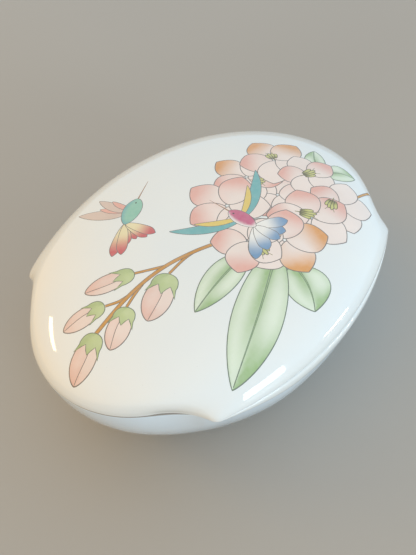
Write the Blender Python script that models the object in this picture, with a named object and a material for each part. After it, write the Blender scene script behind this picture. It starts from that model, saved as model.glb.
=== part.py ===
"""Porcelain trinket box: a lift-off domed lid on an oval bowl. Metres, +Z up.

The box rests on Z = 0 with its middle on the Z axis and its length along X.
The two pieces are lofted shells: rings of points, one ring for each step of the
wall's cross-section, joined into one closed skin.
"""
import math

import bmesh
import bpy

# Plan of the lid: two shallow side arcs, two round end lobes, four outward tips
HALF_LENGTH = 0.0574
HALF_WIDTH = 0.0443
TIP_X, TIP_Y = 0.0390, 0.0352
LOBE_RADIUS = 0.0290
HOLLOW_RADIUS = 0.0230

# Heights
SIDE_SEAM = 0.0296
END_SEAM = 0.0335
CROWN = 0.0468
FOOT_HEIGHT = 0.0016
UNDERSIDE = 0.0014
FLOOR = 0.0046
SEAM_GAP = 0.0003

# The seam starts to drop just before each tip, and is low all along the middle of the side
SEAM_LEAD = math.radians(4.0)
SEAM_RUN = math.radians(32.0)

# Lid
WALL = 0.0030
DOME_INSET = 0.0004
DOME_POWER = 2.4
DOME_ROUNDNESS = 0.45
TIP_FADE = 0.0065
TIP_SPREAD = math.radians(10.0)
CREASE_INSET = 0.0010
BEAD_SHOULDER = 0.0010
EDGE_INSET = 0.0001
EDGE_ROUNDING = 0.0004
SEAM_WIDTH = 0.0025
REBATE = 0.0002

# Base
SIDE_INSET = 0.0012
END_INSET = 0.0001
TIP_INSET = 0.0009
RIM_SPREAD = math.radians(4.0)
TIP_EASE = math.radians(8.0)
WAIST = SIDE_SEAM - 0.0009
OVAL_HALF_LENGTH = 0.0576
END_FULLNESS, SIDE_FULLNESS = 1.85, 1.90
FOOT_SHARE = 0.58
FOOT_WIDTH = 0.0034
RIM_ROUNDING = 0.0004
LEDGE = 0.0015
LIP_HEIGHT = 0.0020
LIP_THICKNESS = 0.0016

# Facets of one quarter of each ring, and where the rings are
LOBE_STEPS = 12
SIDE_STEPS = 12
DOME_SHARES = (0.2, 0.4, 0.58, 0.72, 0.83, 0.91, 0.96, 0.985, 0.997)
INNER_DOME_SHARES = (0.985, 0.93, 0.8, 0.6, 0.35)
BOWL_SHARES = (0.0, 0.04, 0.12, 0.24, 0.4, 0.6, 0.8, 1.0)
INNER_BOWL_SHARES = (0.85, 0.62, 0.4, 0.22, 0.1, 0.02)

TIP_ANGLE = math.atan2(TIP_Y, TIP_X)
SLOPE_CLEARANCE = 1.4 * SEAM_GAP / math.hypot(TIP_X, TIP_Y)
QUARTER = math.pi / 2


def clear_scene():
    for thing in list(bpy.data.objects):
        bpy.data.objects.remove(thing, do_unlink=True)


def smooth(value):
    """0 below 0, 1 above 1, and an even S between them."""
    value = min(max(value, 0.0), 1.0)
    return value * value * (3 - 2 * value)


def between(first, second, share):
    return first + (second - first) * share


def fold(angle):
    """The same direction in the first quarter of the plan."""
    return math.atan2(abs(math.sin(angle)), abs(math.cos(angle)))


def ray_to_arc(angle, centre_x, centre_y, radius, far):
    """Distance from the middle, along a direction, to an arc."""
    along = centre_x * math.cos(angle) + centre_y * math.sin(angle)
    aside = centre_x ** 2 + centre_y ** 2 - along ** 2
    reach = math.sqrt(max(radius ** 2 - aside, 0.0))
    return along + reach if far else along - reach


def hollow_centre():
    """Centre of the arc that touches the lobe's arc and ends at the tip."""
    lobe_x = HALF_LENGTH - LOBE_RADIUS
    to_tip = math.hypot(TIP_X - lobe_x, TIP_Y)
    reach = LOBE_RADIUS + HOLLOW_RADIUS
    along = (reach ** 2 - HOLLOW_RADIUS ** 2 + to_tip ** 2) / (2 * to_tip)
    aside = math.sqrt(reach ** 2 - along ** 2)
    ux, uy = (TIP_X - lobe_x) / to_tip, TIP_Y / to_tip
    return lobe_x + along * ux + aside * uy, along * uy - aside * ux


def lid_radius(angle):
    """Plan outline of the lid, as a distance from the middle."""
    angle = fold(angle)
    if angle >= TIP_ANGLE:
        rise = HALF_WIDTH - TIP_Y
        radius = (TIP_X ** 2 + rise ** 2) / (2 * rise)
        return ray_to_arc(angle, 0.0, HALF_WIDTH - radius, radius, True)
    lobe_x = HALF_LENGTH - LOBE_RADIUS
    hollow_x, hollow_y = hollow_centre()
    share = LOBE_RADIUS / (LOBE_RADIUS + HOLLOW_RADIUS)
    touch_x = lobe_x + share * (hollow_x - lobe_x)
    touch_y = share * hollow_y
    if angle <= math.atan2(touch_y, touch_x):
        return ray_to_arc(angle, lobe_x, 0.0, LOBE_RADIUS, True)
    return ray_to_arc(angle, hollow_x, hollow_y, HOLLOW_RADIUS, False)


def softened_radius(angle, spread):
    """The lid's outline averaged over a small spread of directions, so its tips are rounder."""
    around = [lid_radius(angle + spread * k / 3) for k in range(-3, 4)]
    return sum(around) / len(around)


def oval_radius(angle, half_x, half_y):
    """Plan of a plain ellipse."""
    return 1 / math.hypot(math.cos(angle) / half_x, math.sin(angle) / half_y)


def side_share(angle, clearance=0.0):
    """1 along the middle of the two long sides, 0 along the two end lobes."""
    return smooth((fold(angle) - TIP_ANGLE + SEAM_LEAD + clearance) / SEAM_RUN)


def ring_angles():
    """Directions of one ring: even steps between the middles of the sides and the tips."""
    lobe = [TIP_ANGLE * i / LOBE_STEPS for i in range(LOBE_STEPS)]
    side = [between(TIP_ANGLE, QUARTER, i / SIDE_STEPS) for i in range(SIDE_STEPS)]
    first = lobe + side
    angles = []
    for quarter in range(4):
        if quarter % 2 == 0:
            angles += [quarter * QUARTER + a for a in first]
        else:
            mirrored = [QUARTER - a for a in first[1:]] + [0.0]
            angles += [quarter * QUARTER + a for a in sorted(mirrored)]
    return angles


def ring(angles, radius_at, height_at):
    """One ring of points from two functions of the direction."""
    points = []
    for angle in angles:
        radius = radius_at(angle)
        points.append((radius * math.cos(angle), radius * math.sin(angle), height_at(angle)))
    return points


def edge_ring(angles, outline, clearance, end, side):
    """A ring near the seam, from its (inset, height) at the ends and along the sides."""

    def radius_at(angle):
        return outline(angle) - between(end[0], side[0], side_share(angle, clearance))

    def height_at(angle):
        return between(end[1], side[1], side_share(angle, clearance))

    return ring(angles, radius_at, height_at)


def lofted_shell(name, rings, first_pole, last_pole):
    """Closed skin from one pole, through the rings, to the other pole."""
    mesh = bpy.data.meshes.new(name)
    bm = bmesh.new()
    rows = [[bm.verts.new(point) for point in points] for points in rings]
    count = len(rings[0])
    for upper, lower in zip(rows, rows[1:]):
        for i in range(count):
            j = (i + 1) % count
            bm.faces.new((upper[i], lower[i], lower[j], upper[j]))
    start, end = bm.verts.new(first_pole), bm.verts.new(last_pole)
    for i in range(count):
        j = (i + 1) % count
        bm.faces.new((start, rows[0][i], rows[0][j]))
        bm.faces.new((end, rows[-1][j], rows[-1][i]))
    bmesh.ops.triangulate(bm, faces=bm.faces)
    bmesh.ops.recalc_face_normals(bm, faces=bm.faces)
    bm.to_mesh(mesh)
    bm.free()
    mesh.shade_smooth()
    mesh.set_sharp_from_angle(angle=math.radians(40))
    thing = bpy.data.objects.new(name, mesh)
    bpy.context.scene.collection.objects.link(thing)
    return thing


def porcelain(name, colour, roughness):
    material = bpy.data.materials.new(name)
    material.use_nodes = True
    shader = material.node_tree.nodes["Principled BSDF"]
    shader.inputs["Base Color"].default_value = (*colour, 1.0)
    shader.inputs["Roughness"].default_value = roughness
    shader.inputs["Metallic"].default_value = 0.0
    return material


def dome_ring(angles, share, inset, foot, top):
    """A ring of the dome at a share of its radius: a soft shoulder under a flat crown.

    The tips of the edge soften and fade into a plain oval over the lowest part of the dome.
    """
    height = between(foot, top, (1 - share ** DOME_POWER) ** DOME_ROUNDNESS)
    rise = min((height - foot) / TIP_FADE, 1.0)
    plainness = smooth(rise)

    def radius_at(angle):
        edge = softened_radius(angle, TIP_SPREAD * rise) - inset
        plain = oval_radius(angle, HALF_LENGTH - inset, HALF_WIDTH - inset)
        return share * between(edge, plain, plainness)

    return ring(angles, radius_at, lambda angle: height)


def lid():
    """Dome with a beaded skirt on the long sides, and thin high edges at the ends."""
    angles = ring_angles()
    inner_foot, inner_top = END_SEAM + 2 * REBATE, CROWN - WALL
    rings = [dome_ring(angles, s, DOME_INSET, END_SEAM, CROWN) for s in DOME_SHARES]
    # each step: (inset, height) at the ends, and along the sides
    rim = [
        ((EDGE_INSET, END_SEAM + 2 * EDGE_ROUNDING), (CREASE_INSET, END_SEAM + EDGE_ROUNDING)),
        ((EDGE_INSET, END_SEAM + 1.4 * EDGE_ROUNDING), (0.0, END_SEAM - BEAD_SHOULDER)),
        ((EDGE_INSET, END_SEAM + 0.8 * EDGE_ROUNDING), (0.0, SIDE_SEAM + 2 * EDGE_ROUNDING)),
        ((EDGE_ROUNDING, END_SEAM), (EDGE_ROUNDING, SIDE_SEAM)),
        ((WALL, END_SEAM), (SEAM_WIDTH, SIDE_SEAM)),
        ((WALL + REBATE, inner_foot), (SEAM_WIDTH + REBATE, END_SEAM)),
    ]
    rings += [edge_ring(angles, lid_radius, 0.0, end, side) for end, side in rim]
    rings += [dome_ring(angles, s, WALL + REBATE, inner_foot, inner_top) for s in INNER_DOME_SHARES]
    thing = lofted_shell("lid", rings, (0, 0, CROWN), (0, 0, inner_top))
    thing.data.materials.append(porcelain("lid_glaze", (0.86, 0.87, 0.87), 0.12))


def beyond_tip(angle):
    """Angle past the lid's tip, towards the side, in steps of the tip's ease."""
    return (fold(angle) - TIP_ANGLE) / TIP_EASE


def base_radius(angle):
    """Outline of the bowl's rim: flush at the ends, tucked in under the lid's tips."""
    inset = between(END_INSET, SIDE_INSET, smooth(beyond_tip(angle) + 0.5))
    tucked = TIP_INSET * math.exp(-beyond_tip(angle) ** 2)
    return softened_radius(angle, RIM_SPREAD) - inset - tucked


def bowl_radius(angle, height):
    """Outside of the bowl: a full curve from an oval foot up to the rim's outline."""
    side = side_share(angle, SLOPE_CLEARANCE)
    top = between(END_SEAM - SEAM_GAP, WAIST, side)
    fullness = between(END_FULLNESS, SIDE_FULLNESS, side)
    share = min((height - FOOT_HEIGHT) / (top - FOOT_HEIGHT), 1.0)
    spread = (1 - (1 - share) ** fullness) ** (1 / fullness)
    plain = oval_radius(angle, OVAL_HALF_LENGTH, HALF_WIDTH - SIDE_INSET)
    widest = between(plain, base_radius(angle), share ** 2)
    return between(FOOT_SHARE * plain, widest, spread)


def bowl_ring(angles, share, inset, bottom):
    """A level ring of the bowl below its waist, inset from its outside."""
    outside = between(FOOT_HEIGHT, WAIST, share)
    height = between(bottom, WAIST, share)
    return ring(angles, lambda angle: bowl_radius(angle, outside) - inset, lambda angle: height)


def rising_ring(angles, share):
    """A ring of the bowl's outside between its waist and its rim, high at the ends."""

    def height_at(angle):
        top = between(END_SEAM, SIDE_SEAM, side_share(angle, SLOPE_CLEARANCE)) - SEAM_GAP - RIM_ROUNDING
        return between(WAIST, top, share)

    return ring(angles, lambda angle: bowl_radius(angle, height_at(angle)), height_at)


def foot_ring(angles, inset, height):
    half_x = FOOT_SHARE * OVAL_HALF_LENGTH - inset
    half_y = FOOT_SHARE * (HALF_WIDTH - SIDE_INSET) - inset
    return ring(angles, lambda angle: oval_radius(angle, half_x, half_y), lambda angle: height)


def base():
    """Oval bowl on a foot ring, with raised ends and a lip that keeps the lid in place."""
    angles = ring_angles()
    end_top, side_top = END_SEAM - SEAM_GAP, SIDE_SEAM - SEAM_GAP
    lip_top = side_top + LIP_HEIGHT
    inside = RIM_ROUNDING + LEDGE + LIP_THICKNESS
    rings = [foot_ring(angles, FOOT_WIDTH + RIM_ROUNDING, UNDERSIDE)]
    rings.append(foot_ring(angles, FOOT_WIDTH, 0.0))
    rings.append(foot_ring(angles, RIM_ROUNDING, 0.0))
    rings += [bowl_ring(angles, share, 0.0, FOOT_HEIGHT) for share in BOWL_SHARES]
    rings += [rising_ring(angles, share) for share in (0.5, 1.0)]
    # each step: (inset, height) at the ends, and along the sides
    rim = [
        ((RIM_ROUNDING, end_top), (RIM_ROUNDING, side_top)),
        ((RIM_ROUNDING + LEDGE, end_top), (RIM_ROUNDING + LEDGE, side_top)),
        ((2 * RIM_ROUNDING + LEDGE, end_top), (RIM_ROUNDING + LEDGE, lip_top)),
        ((inside, end_top), (inside, lip_top)),
    ]
    rings += [edge_ring(angles, base_radius, SLOPE_CLEARANCE, end, side) for end, side in rim]
    rings += [bowl_ring(angles, share, WALL, FLOOR) for share in INNER_BOWL_SHARES]
    thing = lofted_shell("base", rings, (0, 0, UNDERSIDE), (0, 0, FLOOR))
    thing.data.materials.append(porcelain("base_glaze", (0.84, 0.86, 0.87), 0.12))


clear_scene()
base()
lid()
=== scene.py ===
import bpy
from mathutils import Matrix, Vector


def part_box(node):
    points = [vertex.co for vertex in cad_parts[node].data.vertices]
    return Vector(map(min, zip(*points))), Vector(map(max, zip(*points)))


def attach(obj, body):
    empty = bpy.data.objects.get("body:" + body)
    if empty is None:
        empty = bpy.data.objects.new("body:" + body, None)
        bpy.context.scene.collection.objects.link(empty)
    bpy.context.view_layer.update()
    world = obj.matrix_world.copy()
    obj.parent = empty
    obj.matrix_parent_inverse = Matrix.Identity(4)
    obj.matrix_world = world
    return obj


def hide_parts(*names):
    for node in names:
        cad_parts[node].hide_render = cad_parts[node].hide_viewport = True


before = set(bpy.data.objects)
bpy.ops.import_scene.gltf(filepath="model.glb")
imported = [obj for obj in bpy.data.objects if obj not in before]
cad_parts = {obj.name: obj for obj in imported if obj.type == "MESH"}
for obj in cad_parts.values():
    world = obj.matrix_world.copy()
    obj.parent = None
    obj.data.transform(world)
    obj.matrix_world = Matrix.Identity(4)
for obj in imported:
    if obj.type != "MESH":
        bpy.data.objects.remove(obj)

"""Looks of a porcelain trinket box: a glazed lid and bowl, and a painted flower spray on the lid.

Lengths are metres, apart from the painted design, which is laid out in millimetres on the
lid's plan (x along the length, y across it) and then lifted onto the dome.
"""
import math

import bpy
import numpy as np
from mathutils import Matrix, Vector, geometry

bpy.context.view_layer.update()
LID_LOW, LID_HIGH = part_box("lid")
BASE_LOW, BASE_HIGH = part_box("base")

# Lid and bowl: the outside sizes come from the lid and base in model.glb, the rest repeats the CAD
HAIR = 0.0001  # a tenth of a millimetre, for the smallest steps
SEAM_GAP = 0.0003
EDGE_INSET = 0.0001
HALF_LENGTH = (LID_HIGH.x - LID_LOW.x) / 2 + EDGE_INSET
HALF_WIDTH = (LID_HIGH.y - LID_LOW.y) / 2
TIP_X, TIP_Y = 0.0390, 0.0352
LOBE_RADIUS = 0.0290
HOLLOW_RADIUS = 0.0230
SIDE_SEAM = LID_LOW.z
END_SEAM = BASE_HIGH.z + SEAM_GAP
CROWN = LID_HIGH.z - HAIR
FOOT_HEIGHT = 0.0016
UNDERSIDE = 0.0014
FLOOR = 0.0046
WALL = 0.0030
DOME_INSET = 0.0005
DOME_POWER = 2.4
DOME_ROUNDNESS = 0.45
TIP_FADE = 0.0065
TIP_SPREAD = math.radians(10.0)
CREASE_INSET = 0.0010
EDGE_ROUNDING = 0.0004
SEAM_WIDTH = 0.0025
REBATE = 0.0002
SIDE_INSET = 0.0012
TIP_INSET = 0.0009
RIM_SPREAD = math.radians(4.0)
WAIST = SIDE_SEAM - 0.0009
OVAL_HALF_LENGTH = 0.0576
END_FULLNESS, SIDE_FULLNESS = 1.85, 1.90
FOOT_SHARE = 0.58
FOOT_WIDTH = 0.0034
RIM_ROUNDING = 0.0004
LEDGE = 0.0015
LIP_HEIGHT = 0.0020
LIP_THICKNESS = 0.0016
TIP_ANGLE = math.atan2(TIP_Y, TIP_X)
TIP_EASE = math.radians(8.0)
SEAM_LEAD = math.radians(4.0)
SEAM_RUN = math.radians(32.0)
TIP_ROUNDING = math.radians(1.2)
SLOPE_CLEARANCE = 1.4 * SEAM_GAP / math.hypot(TIP_X, TIP_Y)
QUARTER = math.pi / 2

# Camera: the view over the corner between the front and the left end
AZIMUTH = math.radians(-45.2)
ELEVATION = math.radians(50.9)
ROLL = math.radians(-5.1)
DISTANCE = 0.1876
AIM_RIGHT, AIM_UP = -0.0014, 0.0140
FOCAL_LENGTH = 36.3

# Light, from around the box: warm behind the left, cool elsewhere
LIGHT_DISTANCE = 0.9
LOW_SKY_STRENGTH = 0.82
SKY_STRENGTH = 0.86
COOL_SKY = (0.79, 0.98, 1.13)
WARM_SKY = (1.34, 0.90, 0.44)
WARM_SIDE = (-0.73, 0.60, 0.33)

# Painted design, in millimetres
PRINT_RISE = 0.02
PRINT_DEPTH = 0.05
GRID = 0.8
LINE = 0.24


# ---------------------------------------------------------------- plan of the box

def smooth(value):
    value = np.clip(value, 0.0, 1.0)
    return value * value * (3 - 2 * value)


def fold(angle):
    """The same directions in the first quarter of the plan."""
    return np.arctan2(np.abs(np.sin(angle)), np.abs(np.cos(angle)))


def ray_to_arc(angle, centre_x, centre_y, radius, far):
    """Distance from the middle, along each direction, to an arc."""
    along = centre_x * np.cos(angle) + centre_y * np.sin(angle)
    aside = centre_x ** 2 + centre_y ** 2 - along ** 2
    reach = np.sqrt(np.maximum(radius ** 2 - aside, 0.0))
    return along + reach if far else along - reach


def hollow_centre():
    """Centre of the arc that touches the end lobe's arc and ends at the tip."""
    lobe_x = HALF_LENGTH - LOBE_RADIUS
    to_tip = math.hypot(TIP_X - lobe_x, TIP_Y)
    reach = LOBE_RADIUS + HOLLOW_RADIUS
    along = (reach ** 2 - HOLLOW_RADIUS ** 2 + to_tip ** 2) / (2 * to_tip)
    aside = math.sqrt(reach ** 2 - along ** 2)
    ux, uy = (TIP_X - lobe_x) / to_tip, TIP_Y / to_tip
    return lobe_x + along * ux + aside * uy, along * uy - aside * ux


def sharp_outline(angle):
    """Plan outline of the lid, with pointed tips, as a distance from the middle."""
    angle = fold(angle)
    rise = HALF_WIDTH - TIP_Y
    side_radius = (TIP_X ** 2 + rise ** 2) / (2 * rise)
    side = ray_to_arc(angle, 0.0, HALF_WIDTH - side_radius, side_radius, True)
    lobe_x = HALF_LENGTH - LOBE_RADIUS
    hollow_x, hollow_y = hollow_centre()
    share = LOBE_RADIUS / (LOBE_RADIUS + HOLLOW_RADIUS)
    touch = math.atan2(share * hollow_y, lobe_x + share * (hollow_x - lobe_x))
    lobe = ray_to_arc(angle, lobe_x, 0.0, LOBE_RADIUS, True)
    hollow = ray_to_arc(angle, hollow_x, hollow_y, HOLLOW_RADIUS, False)
    return np.where(angle >= TIP_ANGLE, side, np.where(angle <= touch, lobe, hollow))


def lid_radius(angle):
    """Plan outline of the lid with its tips softened by the glaze."""
    around = [sharp_outline(angle + TIP_ROUNDING * k / 2) for k in (-2, -1, 0, 1, 2)]
    return np.minimum(sum(around) / len(around), sharp_outline(angle))


def softened_radius(angle, spread):
    """The lid's outline averaged over a small spread of directions, so its tips are rounder."""
    around = [lid_radius(angle + spread * k / 3) for k in range(-3, 4)]
    return sum(around) / len(around)


def oval_radius(angle, half_x, half_y):
    return 1 / np.hypot(np.cos(angle) / half_x, np.sin(angle) / half_y)


def side_share(angle, clearance=0.0):
    """1 along the middle of the two long sides, 0 along the two end lobes."""
    return smooth((fold(angle) - TIP_ANGLE + SEAM_LEAD + clearance) / SEAM_RUN)


def between(first, second, share):
    return first + (second - first) * share


def beyond_tip(angle):
    """Angle past the lid's tip, towards the side, in steps of the tip's ease."""
    return (fold(angle) - TIP_ANGLE) / TIP_EASE


def base_radius(angle):
    """Outline of the bowl's rim: flush at the ends, tucked in under the lid's tips."""
    inset = between(EDGE_INSET, SIDE_INSET, smooth(beyond_tip(angle) + 0.5))
    tucked = TIP_INSET * np.exp(-beyond_tip(angle) ** 2)
    return softened_radius(angle, RIM_SPREAD) - inset - tucked


def bowl_radius(angle, height):
    """Outside of the bowl: a full curve from an oval foot up to the rim's outline."""
    side = side_share(angle, SLOPE_CLEARANCE)
    top = between(END_SEAM - SEAM_GAP, WAIST, side)
    fullness = between(END_FULLNESS, SIDE_FULLNESS, side)
    share = np.clip((height - FOOT_HEIGHT) / (top - FOOT_HEIGHT), 0.0, 1.0)
    spread = (1 - (1 - share) ** fullness) ** (1 / fullness)
    plain = oval_radius(angle, OVAL_HALF_LENGTH, HALF_WIDTH - SIDE_INSET)
    widest = between(plain, base_radius(angle), share ** 2)
    return between(FOOT_SHARE * plain, widest, spread)


def dome_height(share, foot, top):
    return between(foot, top, (1 - share ** DOME_POWER) ** DOME_ROUNDNESS)


def dome_radius(angle, share, inset, foot=END_SEAM, top=CROWN):
    """Plan of the dome at a share of its radius: the tips fade into a plain oval above the edge."""
    rise = np.minimum((dome_height(share, foot, top) - foot) / TIP_FADE, 1.0)
    plainness = smooth(rise)
    edge = softened_radius(angle, TIP_SPREAD * rise) - inset
    plain = oval_radius(angle, HALF_LENGTH - inset, HALF_WIDTH - inset)
    return share * between(edge, plain, plainness)


def dome_inset(angle):
    """The dome stands back from the bead along the sides, and is flush with the edge at the ends."""
    return between(EDGE_INSET, DOME_INSET, side_share(angle))


def ring_angles():
    """Directions of one ring, closer together where the outline turns at each tip."""
    start, end = TIP_ANGLE - TIP_EASE / 4, TIP_ANGLE + TIP_EASE / 4
    first = np.concatenate([
        np.linspace(0, start, 42, endpoint=False),
        np.linspace(start, end, 17, endpoint=False),
        np.linspace(end, QUARTER, 48, endpoint=False),
    ])
    second = 2 * QUARTER - np.append(first[1:], QUARTER)[::-1]
    half = np.concatenate([first, second])
    return np.concatenate([half, half + 2 * QUARTER])


# ---------------------------------------------------------------- glazed shells

def ring(angles, radius, height):
    height = np.broadcast_to(height, angles.shape)
    return np.stack([radius * np.cos(angles), radius * np.sin(angles), height], axis=1)


def make_mesh(name, points, faces, material):
    mesh = bpy.data.meshes.new(name)
    mesh.from_pydata([tuple(p) for p in points], [], faces)
    mesh.materials.append(material)
    piece = bpy.data.objects.new(name, mesh)
    bpy.context.scene.collection.objects.link(piece)
    return piece


def lofted_shell(name, rings, first_pole, last_pole, material):
    """Closed skin from the first pole, through the rings, to the last pole."""
    count = len(rings[0])
    after = [(i + 1) % count for i in range(count)]
    faces = []
    for row in range(len(rings) - 1):
        a, b = row * count, (row + 1) * count
        faces += [(a + i, b + i, b + after[i], a + after[i]) for i in range(count)]
    first, last = len(rings) * count, len(rings) * count + 1
    end = (len(rings) - 1) * count
    faces += [(first, i, after[i]) for i in range(count)]
    faces += [(last, end + after[i], end + i) for i in range(count)]
    points = np.concatenate([*rings, [first_pole], [last_pole]])
    piece = make_mesh(name, points, faces, material)
    piece.data.shade_smooth()
    piece.data.set_sharp_from_angle(angle=math.radians(50))
    return piece


def roll(inset_top, inset_out, inset_bottom, top, bottom, steps):
    """Insets and heights down a rounded edge, from a groove, over a bulge, to its foot."""
    turns = np.linspace(0, math.pi, steps)
    bulge = np.sin(turns) ** 0.6
    plain = inset_top + (inset_bottom - inset_top) * turns / math.pi
    heights = (top + bottom) / 2 + (top - bottom) / 2 * np.cos(turns)
    return list(zip(plain + (inset_out - plain) * bulge, heights))


def edge_ring(angles, outline, clearance, end, along_side):
    """A ring near the seam, from its (inset, height) at the ends and along the sides."""
    side = side_share(angles, clearance)
    inset = between(end[0], along_side[0], side)
    return ring(angles, outline - inset, between(end[1], along_side[1], side))


def lid_shell(material):
    angles = ring_angles()
    inset, outline = dome_inset(angles), lid_radius(angles)
    shares = 1 - np.linspace(0.97, 0.03, 40) ** 1.5
    shares = np.concatenate([shares, 1 - np.geomspace(0.0042, 0.0003, 12)])
    rings = [ring(angles, dome_radius(angles, s, inset), dome_height(s, END_SEAM, CROWN)) for s in shares]
    # a fine ridge and a groove under the dome, then the bead; all shrink to a thin edge at the ends
    steps = 18
    side_edge = [(DOME_INSET + HAIR, END_SEAM + 4 * HAIR), (CREASE_INSET, END_SEAM + HAIR)]
    side_edge += roll(CREASE_INSET, 0.0, EDGE_ROUNDING, END_SEAM - HAIR, SIDE_SEAM, steps)
    end_edge = [(EDGE_INSET, END_SEAM + 4 * HAIR), (EDGE_INSET, END_SEAM + 3 * HAIR)]
    end_edge += roll(EDGE_INSET, EDGE_INSET, EDGE_ROUNDING / 2, END_SEAM + 2.8 * HAIR, END_SEAM, steps)
    rings += [edge_ring(angles, outline, 0.0, end, side) for end, side in zip(end_edge, side_edge)]
    inner_foot, inner_top = END_SEAM + 2 * REBATE, CROWN - WALL
    rings.append(edge_ring(angles, outline, 0.0, (WALL, END_SEAM), (SEAM_WIDTH, SIDE_SEAM)))
    end, side = (WALL + REBATE, inner_foot), (SEAM_WIDTH + REBATE, END_SEAM)
    rings.append(edge_ring(angles, outline, 0.0, end, side))
    for share in 1 - np.linspace(0.06, 0.95, 30) ** 1.5:
        radius = dome_radius(angles, share, WALL + REBATE, inner_foot, inner_top)
        rings.append(ring(angles, radius, dome_height(share, inner_foot, inner_top)))
    return lofted_shell("lid_porcelain", rings, (0, 0, CROWN), (0, 0, inner_top), material)


def base_shell(material):
    angles = ring_angles()
    outline = base_radius(angles)
    end_top, side_top = END_SEAM - SEAM_GAP, SIDE_SEAM - SEAM_GAP
    lip_top = side_top + LIP_HEIGHT

    def foot(inset, height):
        half_x = FOOT_SHARE * OVAL_HALF_LENGTH - inset
        half_y = FOOT_SHARE * (HALF_WIDTH - SIDE_INSET) - inset
        return ring(angles, oval_radius(angles, half_x, half_y), height)

    rings = [foot(FOOT_WIDTH + RIM_ROUNDING, UNDERSIDE), foot(FOOT_WIDTH + 2 * HAIR, 5 * HAIR)]
    rings += [foot(FOOT_WIDTH, 2 * HAIR), foot(FOOT_WIDTH - 3 * HAIR, 0.0)]
    rings += [foot(7 * HAIR, 0.0), foot(4 * HAIR, 2 * HAIR), foot(2 * HAIR, 8 * HAIR)]
    for height in between(FOOT_HEIGHT, WAIST, np.linspace(0.0, 1.0, 44) ** 1.3):
        rings.append(ring(angles, bowl_radius(angles, height), height))
    top = between(end_top, side_top, side_share(angles, SLOPE_CLEARANCE)) - RIM_ROUNDING
    for share in np.linspace(0.1, 1.0, 10):
        height = between(WAIST, top, share)
        rings.append(ring(angles, bowl_radius(angles, height), height))
    # the rim's softened edge, the ledge that carries the lid, and the lip inside it
    rim = []
    for turn in np.radians((22.5, 45, 67.5, 90)):
        inset, drop = RIM_ROUNDING * (1 - math.cos(turn)), RIM_ROUNDING * (1 - math.sin(turn))
        rim.append(((inset, end_top - drop), (inset, side_top - drop)))
    ledge = RIM_ROUNDING + LEDGE
    soft = 3 * HAIR
    rim += [((ledge, end_top), (ledge, side_top)), ((ledge + soft / 2, end_top), (ledge, lip_top - soft))]
    rim += [((ledge + soft, end_top), (ledge + soft, lip_top))]
    inside = ledge + LIP_THICKNESS
    rim += [((inside - soft, end_top), (inside - soft, lip_top))]
    rim += [((inside, end_top - soft), (inside, lip_top - soft))]
    rings += [edge_ring(angles, outline, SLOPE_CLEARANCE, end, side) for end, side in rim]
    for share in 0.85 * (1 - np.linspace(0.0, 0.99, 28)) ** 1.3:
        outside = bowl_radius(angles, between(FOOT_HEIGHT, WAIST, share))
        rings.append(ring(angles, outside - WALL, between(FLOOR, WAIST, share)))
    return lofted_shell("base_porcelain", rings, (0, 0, UNDERSIDE), (0, 0, FLOOR), material)


# ---------------------------------------------------------------- materials

def linear(*rgb):
    """Linear light values of an 8-bit display colour."""
    rgb = np.array(rgb, float) / 255
    return np.where(rgb <= 0.04045, rgb / 12.92, ((rgb + 0.055) / 1.055) ** 2.4)


# unglazed biscuit, set much darker than real biscuit as painted shade in the narrow gap between lid and bowl
BISCUIT_AND_GAP_SHADE = linear(150, 145, 138)


def add_node(tree, kind, **settings):
    node = tree.nodes.new(kind)
    for key, value in settings.items():
        if hasattr(node, key):
            setattr(node, key, value)
        else:
            node.inputs[key.replace("_", " ")].default_value = value
    return node


def noise(tree, place, scale, detail):
    node = add_node(tree, "ShaderNodeTexNoise", Scale=scale, Detail=detail)
    tree.links.new(place.outputs["Object"], node.inputs["Vector"])
    return node


def spread(tree, value, low, high):
    """Turns a noise value into a range from low to high."""
    node = add_node(tree, "ShaderNodeMapRange")
    node.inputs["From Min"].default_value = 0.3
    node.inputs["From Max"].default_value = 0.7
    node.inputs["To Min"].default_value = low
    node.inputs["To Max"].default_value = high
    tree.links.new(value, node.inputs["Value"])
    return node.outputs["Result"]


def mix_colour(tree, factor, first, second, blend="MIX"):
    """Mixes two colours; each is a socket or a fixed linear colour."""
    node = add_node(tree, "ShaderNodeMix", data_type="RGBA", blend_type=blend)
    for socket, colour in ((node.inputs[6], first), (node.inputs[7], second)):
        if hasattr(colour, "links"):
            tree.links.new(colour, socket)
        else:
            socket.default_value = (*colour, 1.0)
    if hasattr(factor, "links"):
        tree.links.new(factor, node.inputs[0])
    else:
        node.inputs[0].default_value = factor
    return node.outputs[2]


def glossy_surface(name):
    """A Principled material with a glaze: gloss that varies a little, and a faint ripple."""
    material = bpy.data.materials.new(name)
    material.use_nodes = True
    tree = material.node_tree
    shader = tree.nodes["Principled BSDF"]
    shader.inputs["IOR"].default_value = 1.5
    shader.inputs["Coat Weight"].default_value = 0.6
    shader.inputs["Coat Roughness"].default_value = 0.02
    shader.inputs["Coat IOR"].default_value = 1.5
    place = add_node(tree, "ShaderNodeTexCoord")
    gloss = noise(tree, place, 60.0, 3.0)
    tree.links.new(spread(tree, gloss.outputs["Fac"], 0.05, 0.10), shader.inputs["Roughness"])
    ripple = noise(tree, place, 110.0, 2.0)
    bump = add_node(tree, "ShaderNodeBump", Strength=0.10, Distance=0.0002)
    tree.links.new(ripple.outputs["Fac"], bump.inputs["Height"])
    tree.links.new(bump.outputs["Normal"], shader.inputs["Normal"])
    return material, tree, shader, place


def calculate(tree, operation, first, second):
    """A maths node on a socket and a second socket or number."""
    node = add_node(tree, "ShaderNodeMath", operation=operation)
    tree.links.new(first, node.inputs[0])
    if hasattr(second, "links"):
        tree.links.new(second, node.inputs[1])
    else:
        node.inputs[1].default_value = second
    return node.outputs["Value"]


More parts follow.
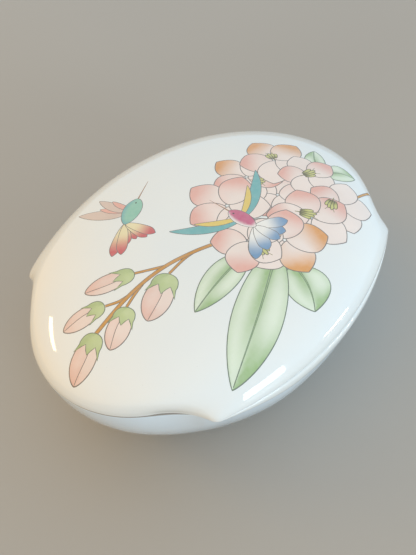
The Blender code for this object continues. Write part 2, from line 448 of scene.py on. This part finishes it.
def bare_edge_and_gap_shade(tree, place, colour, turned, fully, low, high):
    """Bare biscuit where the glaze is wiped off along the seam, painted a dark grey that stands for the shade
    in the narrow gap between lid and bowl.

    It starts where a face's normal reaches one height and is full at another, and it
    lies between two heights on the piece.
    """
    normal = add_node(tree, "ShaderNodeSeparateXYZ")
    tree.links.new(place.outputs["Normal"], normal.inputs[0])
    flat = add_node(tree, "ShaderNodeMapRange")
    flat.inputs["From Min"].default_value = turned
    flat.inputs["From Max"].default_value = fully
    tree.links.new(normal.outputs["Z"], flat.inputs["Value"])
    position = add_node(tree, "ShaderNodeSeparateXYZ")
    tree.links.new(place.outputs["Object"], position.inputs[0])
    above = calculate(tree, "GREATER_THAN", position.outputs["Z"], low)
    below = calculate(tree, "LESS_THAN", position.outputs["Z"], high)
    near_seam = calculate(tree, "MULTIPLY", above, below)
    bare_and_shaded = calculate(tree, "MULTIPLY", near_seam, flat.outputs["Result"])
    return mix_colour(tree, bare_and_shaded, colour, BISCUIT_AND_GAP_SHADE)


def glaze(name, thin, thick, turned, fully, low, high):
    """White glaze that pools a little thicker and cooler in places, with rare fine specks, and bare biscuit
    along the seam painted dark grey as painted shade in the gap.
    """
    material, tree, shader, place = glossy_surface(name)
    pooled = noise(tree, place, 45.0, 4.0)
    colour = mix_colour(tree, spread(tree, pooled.outputs["Fac"], 0.0, 1.0), thin, thick)
    specks = add_node(tree, "ShaderNodeTexVoronoi", Scale=420.0)
    tree.links.new(place.outputs["Object"], specks.inputs["Vector"])
    near = add_node(tree, "ShaderNodeMapRange")
    near.inputs["From Min"].default_value = 0.05
    near.inputs["From Max"].default_value = 0.02
    tree.links.new(specks.outputs["Distance"], near.inputs["Value"])
    dimmed = mix_colour(tree, near.outputs["Result"], (0.0, 0.0, 0.0), (0.10, 0.10, 0.10))
    colour = mix_colour(tree, 1.0, colour, dimmed, "SUBTRACT")
    colour = bare_edge_and_gap_shade(tree, place, colour, turned, fully, low, high)
    tree.links.new(colour, shader.inputs["Base Color"])
    return material


def enamel(name):
    """Painted colour held by the mesh, with brushed variation, under the same glaze."""
    material, tree, shader, place = glossy_surface(name)
    paint = add_node(tree, "ShaderNodeAttribute", attribute_name="paint")
    brushed = noise(tree, place, 700.0, 5.0)
    worn = noise(tree, place, 130.0, 3.0)
    lightness = spread(tree, brushed.outputs["Fac"], 0.0, 0.10)
    lighter = mix_colour(tree, lightness, paint.outputs["Color"], (0.86, 0.86, 0.85))
    wear = spread(tree, worn.outputs["Fac"], 0.0, 1.0)
    shade = mix_colour(tree, wear, (1.0, 1.0, 1.0), (0.94, 0.94, 0.94))
    tree.links.new(mix_colour(tree, 1.0, lighter, shade, "MULTIPLY"), shader.inputs["Base Color"])
    return material


# ---------------------------------------------------------------- painted design

OUTLINE = linear(122, 114, 110)
LEAF_LINE = linear(108, 122, 104)
PALE = linear(246, 230, 222)
SALMON = linear(236, 180, 166)
BUD = linear(232, 184, 170)
BUD_PALE = linear(243, 228, 220)
ORANGE = linear(228, 162, 92)
LEAF_LIGHT = linear(230, 240, 220)
LEAF_DARK = linear(160, 190, 132)
MIDRIB = linear(118, 134, 112)
CALYX_LIGHT = linear(204, 218, 166)
CALYX_DARK = linear(160, 182, 122)
STEM = linear(206, 150, 72)
OLIVE = linear(138, 130, 78)
DARK_OLIVE = linear(84, 80, 62)
POLLEN = linear(206, 204, 128)
TEAL = linear(122, 184, 186)
MINT = linear(150, 204, 184)
YELLOW = linear(236, 208, 112)
MAGENTA = linear(206, 106, 138)
STRAW = linear(240, 228, 184)
RED = linear(208, 100, 104)
BLUE = linear(122, 158, 196)
WHITE = linear(246, 244, 240)
BROWN = linear(170, 130, 100)

shapes = []


def add_shape(group, outline, paint):
    shapes.append((group, np.array(outline), paint))


def plain(colour):
    return lambda points: np.tile(colour, (len(points), 1))


def grown(outline, distance):
    """The outline moved outwards, or inwards if the distance is negative."""
    before, after = np.roll(outline, 1, axis=0), np.roll(outline, -1, axis=0)
    run = after - before
    run /= np.maximum(np.linalg.norm(run, axis=1, keepdims=True), 1e-9)
    area = np.sum(outline[:, 0] * after[:, 1] - after[:, 0] * outline[:, 1])
    away = np.stack([run[:, 1], -run[:, 0]], axis=1) * math.copysign(1, area)
    return outline + away * distance


def drawn(group, outline, paint, line_colour=OUTLINE, line=LINE):
    """A painted area with a drawn outline."""
    outline = np.array(outline)
    add_shape(group, grown(outline, line / 2), plain(line_colour))
    add_shape(group, grown(outline, -line / 2), paint)


class Blade:
    """A petal, leaf or feather: a bent centreline, and a width that varies along it."""

    def __init__(self, start, end, width, widest=0.6, tail=0.5, point=0.62, bend=0.0):
        self.start, self.end = np.array(start, float), np.array(end, float)
        self.length = np.linalg.norm(self.end - self.start)
        self.along = (self.end - self.start) / self.length
        self.aside = np.array([-self.along[1], self.along[0]])
        self.half, self.widest, self.tail, self.point, self.bend = width / 2, widest, tail, point, bend

    def half_width(self, t):
        t = np.clip(t, 0, 1)
        out = np.where(t < self.widest, 1 - t / self.widest, (t - self.widest) / (1 - self.widest))
        power = np.where(t < self.widest, self.tail, self.point)
        return self.half * (1 - out ** 2) ** power

    def centre(self, t):
        t = np.asarray(t, float)[..., None]
        return self.start + self.along * self.length * t + self.aside * self.bend * 4 * t * (1 - t)

    def outline(self, spacing=0.55):
        count = max(8, int(self.length / spacing))
        t = (1 - np.cos(np.linspace(0, math.pi, count))) / 2
        side = self.half_width(t)[:, None] * self.aside
        left, right = self.centre(t) + side, self.centre(t) - side
        return np.concatenate([left, right[-2:0:-1]])

    def local(self, points):
        """Share of the length, and the place across from -1 to 1, of each point."""
        offset = points - self.start
        t = np.clip(offset @ self.along / self.length, 0, 1)
        across = offset @ self.aside - self.bend * 4 * t * (1 - t)
        return t, np.clip(across / np.maximum(self.half_width(t), 0.15), -1, 1)


def blended(first, second, share):
    share = np.clip(share, 0, 1)[:, None]
    return first * (1 - share) + second * share


def curve(points, spacing=0.5):
    """A smooth line through a few points."""
    points = np.array(points, float)
    padded = np.concatenate([[2 * points[0] - points[1]], points, [2 * points[-1] - points[-2]]])
    result = []
    for i in range(len(points) - 1):
        a, b, c, d = padded[i:i + 4]
        count = max(2, int(np.linalg.norm(c - b) / spacing))
        for t in np.arange(count) / count:
            result.append(b + 0.5 * t * (c - a + t * (2 * a - 5 * b + 4 * c - d + t * (3 * (b - c) + d - a))))
    return np.array(result + [points[-1]])


def stroke(points, start_width, end_width):
    """Outline of a brush stroke along a line."""
    run = np.gradient(points, axis=0)
    run /= np.linalg.norm(run, axis=1, keepdims=True)
    aside = np.stack([-run[:, 1], run[:, 0]], axis=1)
    half = np.linspace(start_width, end_width, len(points))[:, None] / 2
    return np.concatenate([points + aside * half, (points - aside * half)[::-1]])


def brush(group, points, start_width, end_width, colour):
    add_shape(group, stroke(curve(points), start_width, end_width), plain(colour))


def petal(group, base, tip, width, colour, one_side=0.0):
    """A petal with a soft point, pale at its base, coloured towards its tip and a little to one side."""
    blade = Blade(base, tip, width, widest=0.55, tail=0.66, point=0.88)

    def paint(points):
        t, across = blade.local(points)
        return blended(PALE, colour, 1.15 * smooth((t - 0.25) / 0.8) + one_side * across * 0.4 + 0.05)

    drawn(group, blade.outline(), paint)


def blossom(group, centre, radius, turn, colours, width=0.82):
    """Petals around a centre, each a little longer or shorter than the last."""
    count = len(colours)
    for k, colour in enumerate(colours):
        angle = math.radians(turn + 360.0 * k / count)
        direction = np.array([math.cos(angle), math.sin(angle)])
        base = np.array(centre) + direction * radius * 0.04
        tip = np.array(centre) + direction * radius * (1 - 0.08 * (k % 2))
        petal(group, base, tip, radius * width, colour, one_side=0.6 * (-1) ** k)


def stamens(group, centre, angle, length):
    """A tight bunch of pollen-tipped stamens that fans a little, over two fine filaments."""
    turn = math.radians(angle)
    run = np.array([math.cos(turn), math.sin(turn)])
    aside = np.array([-run[1], run[0]])
    middle = np.array(centre, float)
    for lean in (-0.7, 0.8):
        end = middle + run * length * 1.15 + aside * lean * length * 0.45
        brush(group, [middle - run * length * 0.3, middle + run * length * 0.4, end], 0.22, 0.16, OLIVE)
    for k, reach in enumerate((0.72, 0.9, 1.0, 0.8)):
        root = middle + aside * (k - 1.5) * 0.55
        tip = middle + run * length * reach + aside * (k - 1.5) * 1.0
        blade = Blade(root, tip, 1.05, widest=0.66, tail=0.5, point=0.5)

        def paint(points, blade=blade):
            t, _ = blade.local(points)
            return blended(OLIVE, POLLEN, smooth((t - 0.1) / 0.5))

        drawn(group, blade.outline(0.35), paint, DARK_OLIVE, 0.2)


def leaf(group, base, tip, width, bend, widest=0.5):
    """A long leaf with a double midrib, shaded beside it and towards its ends."""
    blade = Blade(base, tip, width, widest=widest, tail=0.62, point=0.86, bend=bend)

    def paint(points):
        t, across = blade.local(points)
        one_side = np.exp(-((across + 0.12) / 0.34) ** 2) * smooth((1.05 - t) / 0.7) * 0.85
        other_side = smooth((across + 0.1) / 0.4) * smooth((t - 0.5) / 0.4) * 0.95
        by_edge = smooth((np.abs(across) - 0.6) / 0.4) * 0.3
        root = smooth((0.35 - t) / 0.35) * 0.6
        return blended(LEAF_LIGHT, LEAF_DARK, one_side + other_side + by_edge + root)

    drawn(group, blade.outline(), paint, LEAF_LINE)
    rib = blade.centre(np.linspace(0.02, 0.985, 26))
    add_shape(group, stroke(rib, 0.75, 0.22), plain(MIDRIB))
    add_shape(group, stroke(rib[:22], 0.3, 0.05), plain(LEAF_DARK))


def bud(group, calyx, tip, width, lean):
    """A closed bud: two overlapping petals, and a green cup with three points."""
    blade = Blade(calyx, tip, width, widest=0.52, tail=0.5, point=0.66)

    def paint(points):
        t, across = blade.local(points)
        seam = np.exp(-((across - lean * (1 - t)) / 0.3) ** 2) * (across < lean)
        tint = 0.15 + 0.35 * seam + 0.4 * smooth((t - 0.55) / 0.45) + 0.45 * smooth((lean - across) / 1.2)
        return blended(BUD_PALE, BUD, tint)

    drawn(group, blade.outline(), paint)
    lean_at = [(t, width * lean * 0.5 * math.sin(math.pi * t)) for t in (0.12, 0.5, 0.98)]
    seam_line = [blade.centre(t) + blade.aside * offset for t, offset in lean_at]
    brush(group, seam_line, LINE * 0.8, LINE * 0.7, OUTLINE)
    # the cup, as places along the bud and across it
    cup = [(0.26, 0.46), (0.18, 0.47), (0.06, 0.40), (-0.02, 0.24), (-0.05, 0.0)]
    cup += [(t, -across) for t, across in cup[-2::-1]]
    crown = curve([blade.centre(t) + blade.aside * width * across for t, across in cup], 0.35)
    points = ((0.43, -0.55), (0.29, -0.34), (0.22, -0.20), (0.33, -0.09), (0.41, 0.03), (0.30, 0.13))
    points += ((0.22, 0.24), (0.31, 0.38), (0.45, 0.55))
    crown = np.concatenate([crown, [blade.centre(t) + blade.aside * width * across for t, across in points]])

    def green(points):
        t, across = blade.local(points)
        return blended(CALYX_LIGHT, CALYX_DARK, 0.1 + 1.5 * np.abs(t - 0.08) + 0.4 * smooth(-across))

    drawn(group, crown, green, LEAF_LINE, 0.2)


def stem(group, points, width):
    """A woody stem: brown, with a drawn line down each side."""
    path = curve(points)
    add_shape(group, stroke(path, width + 0.3, width + 0.2), plain(OUTLINE))
    add_shape(group, stroke(path, width, width - 0.1), plain(STEM))


def feather(group, root, tip, width, first, second, bend=0.0, widest=0.55, start=0.3):
    """A feather that changes from one colour to another along its length."""
    blade = Blade(root, tip, width, widest=widest, tail=0.6, point=0.8, bend=bend)

    def paint(points):
        t, _ = blade.local(points)
        return blended(first, second, smooth((t - start) / 0.6))

    drawn(group, blade.outline(0.45), paint, line=0.16)


def bird(group, tail_root, head, wings, tail, colours):
    """A small flying bird: fanned tail, two swept wings, a drop-shaped body and a thin beak."""
    tail_root, head = np.array(tail_root, float), np.array(head, float)
    run = (head - tail_root) / np.linalg.norm(head - tail_root)
    heading = math.atan2(run[1], run[0])
    length = np.linalg.norm(head - tail_root)
    back, belly, band, wing_colour, tail_inner, tail_outer = colours
    for turn, reach, width in tail:
        angle = heading + math.pi + math.radians(turn)
        tip = tail_root + reach * np.array([math.cos(angle), math.sin(angle)])
        feather(group, tail_root + run * 0.4, tip, width, tail_inner, tail_outer, widest=0.72)
    for turn, reach, width, bend in wings:
        shoulder = tail_root + run * length * 0.5
        angle = heading + math.radians(turn)
        direction = np.array([math.cos(angle), math.sin(angle)])
        feather(group, shoulder, shoulder + direction * reach, width, wing_colour, wing_colour, bend, 0.4)
        inner = direction * reach * 0.62 + run * width * 0.35
        feather(group, shoulder + run * 0.6, shoulder + inner, width * 0.55, band, band, bend * 0.6, 0.5)
    body = Blade(tail_root, head, length * 0.5, widest=0.55, tail=0.7, point=0.6)

    def paint(points):
        t, across = body.local(points)
        one_side = smooth((np.abs(across) - 0.35) / 0.6) * (across > 0)
        return blended(back, belly, one_side + smooth((0.2 - t) / 0.2))

    beak = [head - run * 0.3, head + run * length * 0.4, head + run * length * 0.75]
    brush(group, beak, 0.42, 0.12, BROWN)
    drawn(group, body.outline(0.45), paint, line=0.16)
    eye = head - run * length * 0.17
    dot = Blade(eye - run * 0.28, eye + run * 0.28, 0.5, 0.5, 0.5, 0.5)
    add_shape(group, dot.outline(0.12), plain(linear(70, 60, 56)))


def design():
    """The flower spray: leaves at the back, stems and buds, blossoms, and the birds on top."""
    leaf("painted_leaves", (37.5, -11.5), (46.0, -3.5), 6.2, 0.8)
    leaf("painted_leaves", (37.5, -13.0), (44.0, -19.5), 7.6, 1.6)
    leaf("painted_leaves", (-3.0, -15.2), (-24.2, -16.6), 8.4, -0.5, 0.42)
    leaf("painted_leaves", (2.5, -26.5), (-3.8, -37.6), 12.0, 1.2, 0.48)
    leaf("painted_leaves", (3.0, -20.6), (-32.0, -34.4), 12.2, 0.8, 0.5)

    twig = "painted_stems"
    stem(twig, [(43.0, -25.2), (38.0, -24.6), (32.0, -24.0)], 0.6)
    stem(twig, [(-9.5, -4.8), (-14.0, -4.1), (-19.9, -4.2)], 0.6)
    stem(twig, [(-26.0, -0.9), (-29.5, -1.5), (-33.4, -2.4)], 0.6)
    stem(twig, [(-18.5, -2.0), (-21.5, 0.2), (-25.8, 3.5)], 0.6)
    stem(twig, [(-30.5, -0.6), (-33.5, 0.3), (-36.4, 2.2)], 0.6)
    stem(twig, [(-2.0, -8.6), (-10.5, -4.6), (-19.5, -1.7), (-30.0, -0.6), (-43.0, -1.2)], 0.9)

    spray = "painted_buds"
    bud(spray, (-25.6, 3.6), (-36.8, 9.5), 5.4, 0.2)
    bud(spray, (-36.8, 3.0), (-47.2, 6.4), 5.2, -0.2)
    bud(spray, (-43.4, -1.4), (-54.7, -4.8), 6.2, 0.15)
    bud(spray, (-33.8, -3.0), (-43.8, -6.9), 6.0, -0.2)
    bud(spray, (-20.6, -4.6), (-33.1, -9.2), 7.4, 0.15)

    flowers = "painted_blossoms"
    blossom(flowers, (20.0, -8.5), 11.0, 30, (SALMON, PALE, SALMON, PALE, SALMON))
    blossom(flowers, (20.5, 3.0), 11.8, 88, (ORANGE, SALMON, PALE, SALMON, PALE), width=0.72)
    blossom(flowers, (32.5, 2.0), 11.6, 72, (ORANGE, SALMON, PALE, PALE, ORANGE))
    blossom(flowers, (7.5, -0.5), 13.0, 92, (SALMON, SALMON, PALE, PALE, SALMON), width=0.74)
    blossom(flowers, (33.5, -9.5), 9.6, 60, (PALE, SALMON, PALE, PALE, SALMON))
    blossom(flowers, (29.5, -23.0), 10.2, 236, (PALE, PALE, PALE, SALMON, PALE))
    blossom(flowers, (19.0, -20.5), 12.2, 200, (PALE, PALE, SALMON, SALMON, SALMON))
    blossom(flowers, (7.5, -20.0), 12.0, 178, (PALE, ORANGE, ORANGE, SALMON, PALE))
    blossom(flowers, (1.0, -13.0), 10.8, 60, (PALE, SALMON, SALMON, PALE, PALE))
    for centre, angle, length in (
        ((20.5, 0.5), -70, 3.4), ((32.5, -8.8), -20, 4.4), ((29.5, -20.8), -160, 4.0),
        ((18.6, -17.0), -62, 4.6), ((1.6, -15.6), -110, 4.2), ((33.0, 2.5), 60, 3.2),
    ):
        stamens(flowers, centre, angle, length)

    bird(
        "painted_bird_large", (6.2, -11.5), (6.2, -2.2),
        wings=((52, 20.0, 3.4, 1.6), (-62, 21.0, 3.4, -1.6)),
        tail=((-52, 11.0, 3.6), (-30, 8.4, 3.6), (30, 8.0, 3.6), (56, 9.0, 3.6), (6, 7.4, 3.2)),
        colours=(MAGENTA, WHITE, YELLOW, TEAL, WHITE, BLUE),
    )
    bird(
        "painted_bird_small", (-14.6, 17.8), (-4.8, 22.4),
        wings=((96, 16.5, 4.2, 1.2), (70, 13.0, 3.2, 0.8)),
        tail=(
            (48, 7.0, 2.4), (28, 7.6, 2.4), (4, 11.6, 3.0),
            (16, 11.0, 3.0), (66, 8.6, 2.8), (80, 9.8, 3.0),
        ),
        colours=(MINT, TEAL, SALMON, BROWN * 0.4 + PALE * 0.6, STRAW, RED),
    )


def inside(outline, points):
    """Which points lie inside a closed outline."""
    x, y = points[:, 0], points[:, 1]
    result = np.zeros(len(points), bool)
    for (x0, y0), (x1, y1) in zip(outline, np.roll(outline, -1, axis=0)):
        crosses = (y0 > y) != (y1 > y)
        if y0 != y1:
            result ^= crosses & (x < x0 + (y - y0) * (x1 - x0) / (y1 - y0))
    return result


def covered(outline, points):
    """The indices of the points that an outline covers."""
    low, high = outline.min(axis=0), outline.max(axis=0)
    near = np.flatnonzero(np.all((points >= low) & (points <= high), axis=1))
    return near[inside(outline, points[near])]


def dome_share(x, y):
    """Share of the dome's radius at each plan point, in metres, by repeated correction."""
    angle, radius = np.arctan2(y, x), np.hypot(x, y)
    inset = dome_inset(angle)
    share = radius / oval_radius(angle, HALF_LENGTH - inset, HALF_WIDTH - inset)
    low = share > 0.85
    for _ in range(5):
        reach = dome_radius(angle[low], share[low], inset[low]) / share[low]
        share[low] = np.minimum(radius[low] / reach, 0.9999)
    return share


def on_dome(plan, rise):
    """Plan points in millimetres, lifted to the dome and moved out along its normal."""
    x, y = plan[:, 0] / 1000, plan[:, 1] / 1000
    nudge = 0.0001

    def height(px, py):
        return dome_height(dome_share(px, py), END_SEAM, CROWN)

    slope_x = (height(x + nudge, y) - height(x - nudge, y)) / (2 * nudge)
    slope_y = (height(x, y + nudge) - height(x, y - nudge)) / (2 * nudge)
    normal = np.stack([-slope_x, -slope_y, np.ones_like(x)], axis=1)
    normal /= np.linalg.norm(normal, axis=1, keepdims=True)
    return np.stack([x, y, height(x, y)], axis=1) + normal * rise / 1000


def print_groups(material):
    """Cuts the design into triangles that each show one shape, and makes a piece of each group."""
    corners, edges = [], []
    for _, outline, _ in shapes:
        first, count = len(corners), len(outline)
        corners += [Vector(p) for p in outline]
        edges += [(first + i, first + (i + 1) % count) for i in range(count)]
    low = np.min([o.min(axis=0) for _, o, _ in shapes], axis=0)
    high = np.max([o.max(axis=0) for _, o, _ in shapes], axis=0)
    grid = np.stack(np.meshgrid(np.arange(low[0], high[0], GRID), np.arange(low[1], high[1], GRID)), axis=-1)
    grid[::2, :, 0] += GRID / 2
    grid = grid.reshape(-1, 2)
    used = np.zeros(len(grid), bool)
    for _, outline, _ in shapes:
        used[covered(outline, grid)] = True
    corners += [Vector(p) for p in grid[used]]
    cut = geometry.delaunay_2d_cdt(corners, edges, [], 0, 1e-5, False)
    plan = np.array([tuple(v) for v in cut[0]])
    triangles = np.array([f for f in cut[2] if len(f) == 3])
    middles = plan[triangles].mean(axis=1)
    owner = np.full(len(triangles), -1)
    for index, (_, outline, _) in enumerate(shapes):
        owner[covered(outline, middles)] = index
    pieces = []
    for group in dict.fromkeys(g for g, _, _ in shapes):
        members = [i for i, s in enumerate(shapes) if s[0] == group]
        chosen = np.isin(owner, members)
        pieces.append(print_piece(group, plan, triangles[chosen], owner[chosen], material))
    return pieces


def print_piece(name, plan, triangles, owner, material):
    """A thin closed solid on the dome, with its colours held at the corners of its faces."""
    used, flat = np.unique(triangles, return_inverse=True)
    triangles = flat.reshape(-1, 3)
    plan = plan[used]
    a, b, c = (plan[triangles[:, k]] for k in range(3))
    turned = (b[:, 0] - a[:, 0]) * (c[:, 1] - a[:, 1]) < (b[:, 1] - a[:, 1]) * (c[:, 0] - a[:, 0])
    triangles[turned] = triangles[turned][:, ::-1]
    colours = np.zeros((len(triangles), 3, 3))
    for index in np.unique(owner):
        mine = owner == index
        colours[mine] = shapes[index][2](plan[triangles[mine]].reshape(-1, 2)).reshape(-1, 3, 3)
    count = len(plan)
    points = np.concatenate([on_dome(plan, PRINT_RISE), on_dome(plan, -PRINT_DEPTH)])
    sides = {}
    for t, tri in enumerate(triangles):
        for k in range(3):
            sides[(tri[k], tri[(k + 1) % 3])] = (t, k)
    walls, wall_colours = [], []
    for (p, q), (t, k) in sides.items():
        if (q, p) not in sides:
            walls.append((p, p + count, q + count, q))
            at_p, at_q = colours[t, k], colours[t, (k + 1) % 3]
            wall_colours += [at_p, at_p, at_q, at_q]
    faces = [tuple(t) for t in triangles] + [tuple(t[::-1] + count) for t in triangles] + walls
    piece = make_mesh(name, points, [tuple(int(i) for i in f) for f in faces], material)
    corner_colours = np.concatenate([
        colours.reshape(-1, 3), colours[:, ::-1].reshape(-1, 3), np.array(wall_colours).reshape(-1, 3),
    ])
    paint = piece.data.color_attributes.new("paint", "FLOAT_COLOR", "CORNER")
    rgba = np.concatenate([np.clip(corner_colours, 0, 1), np.ones((len(corner_colours), 1))], axis=1)
    paint.data.foreach_set("color", rgba.astype(np.float32).ravel())
    piece.data.shade_smooth()
    piece.data.set_sharp_from_angle(angle=math.radians(40))
    return piece


# ---------------------------------------------------------------- camera, floor and lights

def bearing(azimuth, elevation):
    """Towards a place around the box; azimuth 0 is the front, and the right is positive."""
    return Vector((
        math.sin(azimuth) * math.cos(elevation),
        -math.cos(azimuth) * math.cos(elevation),
        math.sin(elevation),
    ))


def add_camera():
    back = bearing(AZIMUTH, ELEVATION)
    right = Vector((math.cos(AZIMUTH), math.sin(AZIMUTH), 0.0))
    up = back.cross(right)
    place = back * DISTANCE + right * AIM_RIGHT + up * AIM_UP
    tilted_right = right * math.cos(ROLL) + up * math.sin(ROLL)
    tilted_up = up * math.cos(ROLL) - right * math.sin(ROLL)
    turn = Matrix((tilted_right, tilted_up, back)).transposed().to_4x4()
    data = bpy.data.cameras.new("camera")
    data.lens = FOCAL_LENGTH
    data.sensor_width = 36.0
    data.clip_start = 0.005
    camera = bpy.data.objects.new("camera", data)
    camera.matrix_world = Matrix.Translation(place) @ turn
    bpy.context.scene.collection.objects.link(camera)
    bpy.context.scene.camera = camera


def add_floor():
    """A plain pale sweep: a flat disc of floor that reaches past every view."""
    reach, steps = 2.0, 64
    turns = [2 * math.pi * k / steps for k in range(steps)]
    points = [(reach * math.cos(turn), reach * math.sin(turn), 0.0) for turn in turns]
    material = bpy.data.materials.new("floor")
    material.use_nodes = True
    tree = material.node_tree
    shader = tree.nodes["Principled BSDF"]
    place = add_node(tree, "ShaderNodeTexCoord")
    cloud = noise(tree, place, 3.0, 2.0)
    share = spread(tree, cloud.outputs["Fac"], 0.0, 1.0)
    colour = mix_colour(tree, share, linear(170, 165, 158), linear(177, 172, 165))
    tree.links.new(colour, shader.inputs["Base Color"])
    shader.inputs["Roughness"].default_value = 0.45
    floor = make_mesh("floor", points, [tuple(range(steps))], material)
    floor.location.z = BASE_LOW.z


def add_light(name, azimuth, elevation, size, power, colour):
    """A softbox that faces the box from a direction; azimuth 0 is the front."""
    towards = bearing(math.radians(azimuth), math.radians(elevation))
    data = bpy.data.lights.new(name, "AREA")
    data.shape = "RECTANGLE"
    data.size, data.size_y = size
    data.energy = power
    data.color = colour
    light = bpy.data.objects.new(name, data)
    light.rotation_mode = "QUATERNION"
    light.rotation_quaternion = towards.to_track_quat("Z", "Y")
    light.location = towards * LIGHT_DISTANCE + Vector((0, 0, END_SEAM))
    bpy.context.scene.collection.objects.link(light)


def add_sky():
    """An even studio dome: warm from behind the left, cool from the front, dimmer near the floor."""
    world = bpy.data.worlds.new("studio")
    bpy.context.scene.world = world
    world.use_nodes = True
    tree = world.node_tree
    place = add_node(tree, "ShaderNodeTexCoord")
    towards = add_node(tree, "ShaderNodeVectorMath", operation="DOT_PRODUCT")
    towards.inputs[1].default_value = WARM_SIDE
    tree.links.new(place.outputs["Generated"], towards.inputs[0])
    warmth = add_node(tree, "ShaderNodeMapRange", interpolation_type="SMOOTHSTEP")
    warmth.inputs["From Min"].default_value = 0.1
    warmth.inputs["From Max"].default_value = 0.95
    tree.links.new(towards.outputs["Value"], warmth.inputs["Value"])
    colour = mix_colour(tree, warmth.outputs["Result"], COOL_SKY, WARM_SKY)
    split = add_node(tree, "ShaderNodeSeparateXYZ")
    tree.links.new(place.outputs["Generated"], split.inputs[0])
    height = add_node(tree, "ShaderNodeMapRange", interpolation_type="SMOOTHSTEP")
    height.inputs["From Min"].default_value = -0.1
    height.inputs["From Max"].default_value = 0.55
    height.inputs["To Min"].default_value = LOW_SKY_STRENGTH
    height.inputs["To Max"].default_value = SKY_STRENGTH
    tree.links.new(split.outputs["Z"], height.inputs["Value"])
    sky = tree.nodes["Background"]
    tree.links.new(colour, sky.inputs["Color"])
    tree.links.new(height.outputs["Result"], sky.inputs["Strength"])


def add_lights():
    add_light("window", -3, 12, (0.26, 0.30), 2.2, (0.78, 0.93, 1.0))
    add_light("lamp_right", 30, 0.5, (0.22, 0.05), 0.9, (1.0, 0.82, 0.62))
    add_light("lamp_back", -150, 31.5, (0.26, 0.05), 0.7, (1.0, 0.78, 0.42))
    bpy.context.scene.view_settings.view_transform = "Standard"


# ---------------------------------------------------------------- assembly

add_camera()
add_floor()
add_sky()
add_lights()

# the lid's downward faces inside the seam take the dark biscuit grey: painted shade in the gap
lid_edge = (-0.80, -0.97, SIDE_SEAM - 10 * HAIR, END_SEAM + 3 * HAIR)
lid = lid_shell(glaze("lid_glaze", linear(238, 240, 238), linear(234, 238, 239), *lid_edge))
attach(lid, "cover")
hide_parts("lid")

# the bowl's upward faces at the rim take the dark biscuit grey: painted shade in the gap
bowl_edge = (0.25, 0.55, SIDE_SEAM - 10 * HAIR, END_SEAM)
# the bowl's white is the lid's made darker and bluer: painted shade and cool reflected light on the bowl's
# sides
bowl = base_shell(glaze("base_glaze", linear(223, 235, 245), linear(217, 231, 243), *bowl_edge))
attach(bowl, "bowl")
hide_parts("base")

design()
for piece in print_groups(enamel("enamel")):
    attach(piece, "cover")
